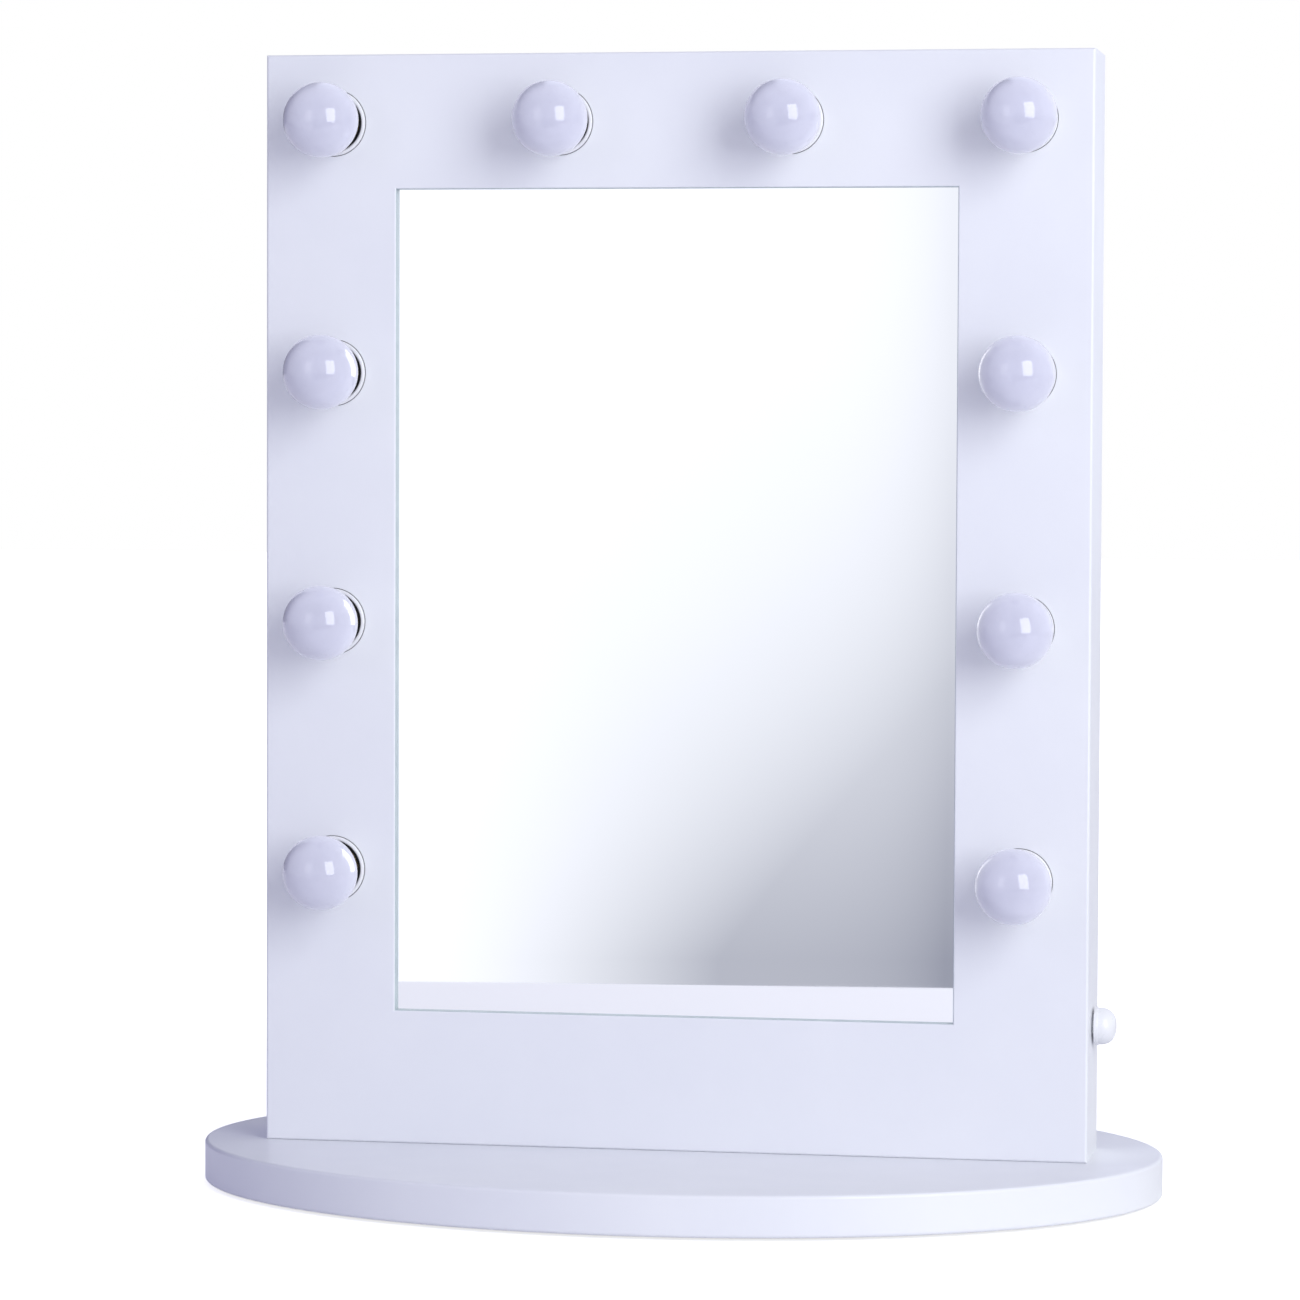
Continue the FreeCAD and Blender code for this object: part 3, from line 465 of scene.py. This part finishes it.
def make_cap(name):
    """The screw cap: a rolled thread that winds round it, below a plain skirt."""
    node = f"bulb_{name}_cap"
    end, top = reach(node)
    skirt = half_width(node)
    core = skirt - 1.05 * MM
    skirt_bottom = top - 2.6 * MM
    thread_top = top - 3.4 * MM
    thread_bottom = end + 5 * MM
    core_end = thread_bottom - 1.3 * MM
    builder = bmesh.new()
    rows = [ring(builder, 0, top), ring(builder, skirt, top), ring(builder, skirt, skirt_bottom + 0.3 * MM),
            ring(builder, skirt - 0.3 * MM, skirt_bottom), ring(builder, core, thread_top)]
    for step in range(1, THREAD_ROWS):
        height = thread_top + (thread_bottom - thread_top) * step / THREAD_ROWS
        fade = smooth_step(thread_top, thread_top - THREAD_PITCH / 2, height)
        fade *= smooth_step(thread_bottom, thread_bottom + THREAD_PITCH / 2, height)
        row = []
        for index in range(ROUND_SEGMENTS):
            turn = 2 * math.pi * index / ROUND_SEGMENTS
            phase = 2 * math.pi * height / THREAD_PITCH - turn
            radius = core + THREAD_DEPTH * fade * (0.5 + 0.5 * math.cos(phase))
            row.append(builder.verts.new((radius * math.cos(turn), radius * math.sin(turn), height)))
        rows.append(row)
    rows.append(ring(builder, core, thread_bottom))
    rows.append(ring(builder, core - 1.6 * MM, core_end))
    rows.append(ring(builder, 0, core_end))
    surface_grid(builder, rows)
    cap = finish_mesh(f"cap_{name}", builder, lamp_place(name), MATERIALS["cap_nickel"])
    fit_piece(cap, f"bulb_{name}", "cap_nickel", node)
    make_cap_end(name, end, thread_bottom, core)


def make_cap_end(name, end, shoulder, core):
    """The black glass insulator at the cap's end, with the solder tip in its middle."""
    wide = core - 1.9 * MM
    insulator_top = shoulder - 1.0 * MM
    insulator_end = end + 1.2 * MM
    tip_top = end + 1.4 * MM
    insulator_corners = [
        (0, insulator_top, 0),
        (wide, insulator_top, 0),
        (wide, shoulder - 1.6 * MM, 0.3 * MM),
        (5.6 * MM, insulator_end, 0.6 * MM),
        (0, insulator_end, 0),
    ]
    insulator = lathe(f"cap_insulator_{name}", rounded(insulator_corners), lamp_place(name),
                      MATERIALS["insulator_black"])
    fit_piece(insulator, f"bulb_{name}", "dimmer_black")
    tip_corners = [
        (0, tip_top, 0),
        (4.8 * MM, tip_top, 0.2 * MM),
        (4.4 * MM, end + 0.5 * MM, 0.4 * MM),
        (2.4 * MM, end, 0.8 * MM),
        (0, end, 0),
    ]
    tip = lathe(f"cap_tip_{name}", rounded(tip_corners), lamp_place(name), MATERIALS["cap_nickel"])
    fit_piece(tip, f"bulb_{name}", "cap_nickel")


def make_lampholder(name):
    """The white lampholder: a thin collar on the face and a barrel through the panel."""
    node = f"lampholder_{name}"
    end, rim_top = reach(node)
    rim = half_width(node)
    rim_inner = rim - 1.9 * MM
    barrel = 18.3 * MM
    cup = 17.2 * MM
    cup_floor = -6 * MM
    bore = 14.4 * MM
    bore_floor = -29 * MM
    tail = 16.6 * MM
    tail_start = -18 * MM
    corners = [
        (0, bore_floor, 0),
        (bore, bore_floor, 0),
        (bore, cup_floor, 0.3 * MM),
        (cup, cup_floor, 0),
        (cup, 0, 0.2 * MM),
        (rim_inner, 0.5 * MM, 0.2 * MM),
        (rim_inner, rim_top, 0.5 * MM),
        (rim, rim_top, 0.8 * MM),
        (rim, 0, 0),
        (barrel, 0, 0),
        (barrel, tail_start, 0.3 * MM),
        (tail, tail_start, 0.2 * MM),
        (tail, end + 3 * MM, 0.6 * MM),
        (tail - 5 * MM, end, 1 * MM),
        (0, end, 0),
    ]
    holder = lathe(f"holder_{name}", rounded(corners), lamp_place(name), MATERIALS["holder_white"])
    fit_piece(holder, "case", "holder_white", node)
    make_cup_painted_shade(name, bore, cup, cup_floor)
    make_shadow_line_gasket(name, barrel, rim)


def make_shadow_line_gasket(name, barrel, rim):
    """A thin dark rubber washer between the lampholder's rim and the panel, whose edge also stands in for
    the shadow line at the rim's foot: painted shade.
    """
    thickness = 0.3 * MM
    inside = barrel + 0.2 * MM
    outside = rim + 0.35 * MM
    corners = [(inside, 0, 0), (outside, 0, 0), (outside, thickness, 0.1 * MM), (inside, thickness, 0)]
    # Painted shade: the washer's dark edge stands in for the shadow line round the rim.
    gasket = lathe(f"holder_gasket_shadow_line_{name}", rounded(corners), lamp_place(name), MATERIALS["grey_rubber"],
                   closed=True)
    fit_piece(gasket, "case", "grey_rubber")


def make_cup_painted_shade(name, bore, cup, cup_floor):
    """A near-black ring in the lampholder's cup, round the mouth of its bore: painted shade for the dark
    gap seen round the globe.
    """
    gap = 0.02 * MM
    wall = 0.6 * MM
    corners = [
        (bore + gap, cup_floor + gap, 0),
        (cup - gap, cup_floor + gap, 0),
        (cup - gap, -gap, 0),
        (cup - wall, -gap, 0.2 * MM),
        (cup - wall, cup_floor + wall, 0.3 * MM),
        (bore + gap, cup_floor + wall, 0),
    ]
    painted_shade_ring = lathe(f"cup_painted_shade_{name}", rounded(corners), lamp_place(name), MATERIALS["painted_shade_black"],
                  closed=True)
    fit_piece(painted_shade_ring, "case", "dimmer_black")


# ---------------------------------------------------------------- opening

OPENING_WIDTH = 340 * MM
OPENING_HEIGHT = 496 * MM
FACE_ROUNDING = 0.8 * MM


def make_opening_painted_shade():
    """A thin greenish-grey skin round the inside of the mirror's opening, from the glass to the face:
    painted shade on the opening's walls, and painted reflection of them in the glass.
    """
    low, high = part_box("mirror_glass")
    middle = (low + high) / 2
    thickness = 0.25 * MM
    front = front_face() + FACE_ROUNDING
    back = low.y
    builder = bmesh.new()
    rows = []
    for inset, depth in ((0, back), (thickness, back), (thickness, front), (0, front)):
        across = OPENING_WIDTH / 2 - inset
        up = OPENING_HEIGHT / 2 - inset
        rows.append([builder.verts.new((middle.x + x * across, depth, middle.z + z * up))
                     for x, z in ((-1, -1), (1, -1), (1, 1), (-1, 1))])
    surface_grid(builder, rows, wrap_rows=True)
    reveal_painted_shade = finish_mesh("opening_painted_shade", builder, Matrix.Identity(4), MATERIALS["reveal_shade_colour"])
    fit_piece(reveal_painted_shade, "case", "white_lacquer")


# ---------------------------------------------------------------- dimmer knob

MARK_START = 4 * MM
MARK_END = 7.5 * MM
MARK_HALF_WIDTH = 0.6 * MM
MARK_DEPTH = 0.7 * MM
KNOB_REST_TURN = math.radians(-30)
KNOB_SEGMENTS = 360
KNOB_RINGS = 90


def mark_share(across, along):
    """How deep the pointer mark is at a point of the knob's dome, from 0 to 1."""
    soft = 0.15 * MM
    sideways = smooth_step(MARK_HALF_WIDTH + soft, MARK_HALF_WIDTH - soft, abs(across))
    from_start = smooth_step(MARK_START - soft, MARK_START + soft, along)
    to_end = smooth_step(MARK_END + soft, MARK_END - soft, along)
    return sideways * from_start * to_end


def make_knob():
    """A domed knob on a thin skirt, hollow below, with a pointer mark pressed into its dome."""
    place = knob_place()
    side = place.translation.x
    low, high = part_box("dimmer_knob")
    top = high.x - side
    bottom = low.x - side
    skirt = (high.y - low.y) / 2
    body = skirt - 0.5 * MM
    dome = 8.5 * MM
    hollow = 8 * MM
    hollow_top = 4.5 * MM
    corners = [
        (0, hollow_top, 0),
        (hollow, hollow_top, 0.5 * MM),
        (hollow, bottom, 0),
        (skirt, bottom, 0.3 * MM),
        (skirt, 3.4 * MM, 0.4 * MM),
        (body, 3.6 * MM, 0.15 * MM),
        (body, top - dome, 0),
    ]
    outline = rounded(corners)
    for step in range(1, KNOB_RINGS + 1):
        turn = math.pi / 2 * step / KNOB_RINGS
        outline.append((body - dome + dome * math.cos(turn), top - dome + dome * math.sin(turn)))
    flat = body - dome
    outline.append((flat / 2, top))
    outline.append((0, top))
    builder = bmesh.new()
    rows = [ring(builder, radius, height, KNOB_SEGMENTS) for radius, height in outline]
    surface_grid(builder, rows)
    for vertex in builder.verts:
        if vertex.co.z > top - dome:
            vertex.co.z -= MARK_DEPTH * mark_share(vertex.co.y, vertex.co.x)
    turned = place @ Matrix.Rotation(KNOB_REST_TURN, 4, "Z")
    knob = finish_mesh("knob", builder, turned, MATERIALS["knob_white"])
    fit_piece(knob, "dimmer", "knob_white", "dimmer_knob")


# ---------------------------------------------------------------- studio

WHITE = (1.0, 1.0, 1.0)
TARGET = Vector((0, front_face(), 0.42))

KEY_POWER = 45.5
KEY_COLOUR = (0.935, 0.96, 1.0)
FILL_POWER = 4.5
AMBIENT_LEFT = (0.15, 0.14, 0.40)
AMBIENT_RIGHT = (0.74, 0.75, 0.71)
ROOM_IN_FRONT = (1.08, 1.10, 1.18)
ROOM_BEHIND_LEFT = (0.12, 0.12, 0.16)
ROOM_BEHIND_RIGHT = (1.0, 1.04, 1.25)
DIM_CORNER = (0.03, 0.04, 0.12)
FLOOR_COLOUR = (0.86, 0.86, 0.88, 1)
FLOOR_GLOW = 0.72
FLOOR_GLOW_MIRRORED = 0.22
FLOOR_HALF = 14.0
GLOW_START = 0.4
GLOW_END = 1.6
TABLE_EDGE = -1.15
TABLE_EDGE_SLANT = -0.107

# The room is seen only in reflections. These are parts of a unit direction into it.
CORNER_LEFT = -0.222
CORNER_RIGHT = -0.118
CORNER_TOP = 0.044
CORNER_BOTTOM = -0.107
CORNER_NARROWEST = 0.75
CORNER_WIDENING = 3.0
CORNER_SOFTNESS = 1.4
CORNER_SHADE = 0.56
EDGE_SOFTNESS = 10.0
EDGE_SHADE = 0.15
BEHIND_DARK = -0.28
BEHIND_LIGHT = -0.16


def link(tree, output, target):
    tree.links.new(output, target)


def ranged(tree, source, start, end, low=0.0, high=1.0, smooth=False):
    """A value that goes from low to high as the source goes from start to end."""
    spread = tree.nodes.new("ShaderNodeMapRange")
    spread.interpolation_type = "SMOOTHSTEP" if smooth else "LINEAR"
    for field, value in (("From Min", start), ("From Max", end), ("To Min", low), ("To Max", high)):
        spread.inputs[field].default_value = value
    link(tree, source, spread.inputs["Value"])
    return spread.outputs["Result"]


def math_node(tree, operation, first, second):
    """One arithmetic step; either input may be a plain number."""
    step = tree.nodes.new("ShaderNodeMath")
    step.operation = operation
    for socket, value in zip(step.inputs, (first, second)):
        if isinstance(value, (int, float)):
            socket.default_value = value
        else:
            link(tree, value, socket)
    return step.outputs["Value"]


def mixed(tree, share, first, second):
    """A colour between two colours; each may be a plain colour."""
    mix = tree.nodes.new("ShaderNodeMix")
    mix.data_type = "RGBA"
    link(tree, share, mix.inputs["Factor"])
    for socket, value in ((mix.inputs[6], first), (mix.inputs[7], second)):
        if isinstance(value, tuple):
            socket.default_value = (*value, 1)
        else:
            link(tree, value, socket)
    return mix.outputs[2]


def make_floor():
    """A pale table top: white to the camera, and in the mirror it ends a metre in front."""
    builder = bmesh.new()
    corners = [builder.verts.new((x * FLOOR_HALF, y * FLOOR_HALF, 0))
               for x, y in ((-1, -1), (1, -1), (1, 1), (-1, 1))]
    builder.faces.new(corners)
    mesh = bpy.data.meshes.new("floor")
    builder.to_mesh(mesh)
    builder.free()
    floor = bpy.data.objects.new("floor", mesh)
    bpy.context.scene.collection.objects.link(floor)
    material = bpy.data.materials.new("floor_white")
    material.use_nodes = True
    mesh.materials.append(material)
    tree = material.node_tree
    paint = tree.nodes["Principled BSDF"]
    paint.inputs["Base Color"].default_value = FLOOR_COLOUR
    paint.inputs["Roughness"].default_value = 0.9
    paint.inputs["Specular IOR Level"].default_value = 0.2
    place = tree.nodes.new("ShaderNodeTexCoord").outputs["Object"]
    distance = tree.nodes.new("ShaderNodeVectorMath")
    distance.operation = "LENGTH"
    link(tree, place, distance.inputs[0])
    parts = tree.nodes.new("ShaderNodeSeparateXYZ")
    link(tree, place, parts.inputs[0])
    path = tree.nodes.new("ShaderNodeLightPath")
    seen = math_node(tree, "MULTIPLY", path.outputs["Is Camera Ray"],
                     ranged(tree, distance.outputs["Value"], GLOW_START, GLOW_END, FLOOR_GLOW, 1.0,
                            smooth=True))
    mirrored = math_node(tree, "MULTIPLY", path.outputs["Is Glossy Ray"], FLOOR_GLOW_MIRRORED)
    glow = tree.nodes.new("ShaderNodeEmission")
    link(tree, math_node(tree, "ADD", seen, mirrored), glow.inputs["Strength"])
    lit = tree.nodes.new("ShaderNodeAddShader")
    link(tree, paint.outputs[0], lit.inputs[0])
    link(tree, glow.outputs[0], lit.inputs[1])
    slant = math_node(tree, "MULTIPLY", parts.outputs["X"], TABLE_EDGE_SLANT)
    from_edge = math_node(tree, "SUBTRACT", parts.outputs["Y"], slant)
    past_edge = math_node(tree, "LESS_THAN", from_edge, TABLE_EDGE)
    cut = tree.nodes.new("ShaderNodeMixShader")
    link(tree, math_node(tree, "MULTIPLY", past_edge, path.outputs["Is Glossy Ray"]), cut.inputs[0])
    link(tree, lit.outputs[0], cut.inputs[1])
    link(tree, tree.nodes.new("ShaderNodeBsdfTransparent").outputs[0], cut.inputs[2])
    link(tree, cut.outputs[0], tree.nodes["Material Output"].inputs["Surface"])


def make_world():
    """White behind the object; a cool light from all sides; a room that is dimmer low on the right."""
    world = bpy.data.worlds.new("studio")
    bpy.context.scene.world = world
    world.use_nodes = True
    world.cycles.sampling_method = "NONE"
    tree = world.node_tree
    direction = tree.nodes.new("ShaderNodeSeparateXYZ")
    link(tree, tree.nodes.new("ShaderNodeTexCoord").outputs["Generated"], direction.inputs[0])
    sideways, away, upward = direction.outputs
    across = ranged(tree, sideways, CORNER_LEFT, CORNER_RIGHT)
    down = ranged(tree, upward, CORNER_TOP, CORNER_BOTTOM)
    widening = math_node(tree, "ADD", math_node(tree, "POWER", down, CORNER_WIDENING), CORNER_NARROWEST)
    spread = ranged(tree, math_node(tree, "MULTIPLY", across, widening), 0, 1)
    corner = math_node(tree, "POWER", math_node(tree, "MULTIPLY", spread, down), CORNER_SOFTNESS)
    edge = math_node(tree, "POWER", across, EDGE_SOFTNESS)
    shade = math_node(tree, "ADD", math_node(tree, "MULTIPLY", corner, CORNER_SHADE),
                      math_node(tree, "MULTIPLY", edge, EDGE_SHADE))
    dim = math_node(tree, "MULTIPLY", shade, ranged(tree, away, 0, -0.5))
    behind = mixed(tree, ranged(tree, sideways, BEHIND_DARK, BEHIND_LIGHT), ROOM_BEHIND_LEFT,
                   ROOM_BEHIND_RIGHT)
    in_front = mixed(tree, dim, ROOM_IN_FRONT, DIM_CORNER)
    room = mixed(tree, ranged(tree, away, 0, 0.5), in_front, behind)
    path = tree.nodes.new("ShaderNodeLightPath")
    ambient = mixed(tree, ranged(tree, sideways, -1, 1), AMBIENT_LEFT, AMBIENT_RIGHT)
    lit = mixed(tree, path.outputs["Is Diffuse Ray"], room, ambient)
    shown = mixed(tree, path.outputs["Is Camera Ray"], lit, WHITE)
    link(tree, shown, tree.nodes["Background"].inputs["Color"])


def make_softbox(name, azimuth, elevation, distance, width, height, power, colour):
    """A rectangular light that faces the object; azimuth turns from -Y towards +X."""
    turn = math.radians(azimuth)
    rise = math.radians(elevation)
    direction = Vector((math.sin(turn) * math.cos(rise), -math.cos(turn) * math.cos(rise), math.sin(rise)))
    light = bpy.data.lights.new(name, "AREA")
    light.shape = "RECTANGLE"
    light.size = width
    light.size_y = height
    light.energy = power
    light.color = colour
    box = bpy.data.objects.new(name, light)
    box.location = TARGET + direction * distance
    box.rotation_euler = direction.to_track_quat("Z", "Y").to_euler()
    box.visible_camera = False
    bpy.context.scene.collection.objects.link(box)


def make_lights():
    """A tall softbox on the right gives most of the light, and a weak one on the left fills."""
    make_softbox("key", azimuth=42, elevation=16, distance=2.8, width=1.4, height=2.15,
                 power=KEY_POWER, colour=KEY_COLOUR)
    make_softbox("fill", azimuth=-28, elevation=14, distance=2.8, width=1.0, height=1.5,
                 power=FILL_POWER, colour=WHITE)


CAMERA_PLACE = Vector((0.5171, -2.9794, 0.4643))
CAMERA_YAW = 0.1782
CAMERA_PITCH = 0.0457
CAMERA_ROLL = 0.0040
CAMERA_LENS = 138.83
CAMERA_SENSOR = 36.0


def make_camera():
    """The main viewpoint: right of the middle, level with it, and looking slightly down."""
    forward = Vector((-math.sin(CAMERA_YAW) * math.cos(CAMERA_PITCH),
                      math.cos(CAMERA_YAW) * math.cos(CAMERA_PITCH), -math.sin(CAMERA_PITCH)))
    level_right = Vector((math.cos(CAMERA_YAW), math.sin(CAMERA_YAW), 0))
    level_up = level_right.cross(forward)
    right = level_right * math.cos(CAMERA_ROLL) + level_up * math.sin(CAMERA_ROLL)
    data = bpy.data.cameras.new("camera")
    data.sensor_width = CAMERA_SENSOR
    data.lens = CAMERA_LENS
    camera = bpy.data.objects.new("camera", data)
    camera.matrix_world = axes(right, -forward, CAMERA_PLACE)
    bpy.context.scene.collection.objects.link(camera)
    bpy.context.scene.camera = camera


# ---------------------------------------------------------------- build

dress_carried_nodes()
for lamp in LAMP_NAMES:
    make_globe(lamp)
    make_housing(lamp)
    make_cap(lamp)
    make_lampholder(lamp)
make_opening_painted_shade()
make_knob()

make_floor()
make_world()
make_lights()
make_camera()
bpy.context.scene.view_settings.view_transform = "Standard"

bpy.context.view_layer.update()
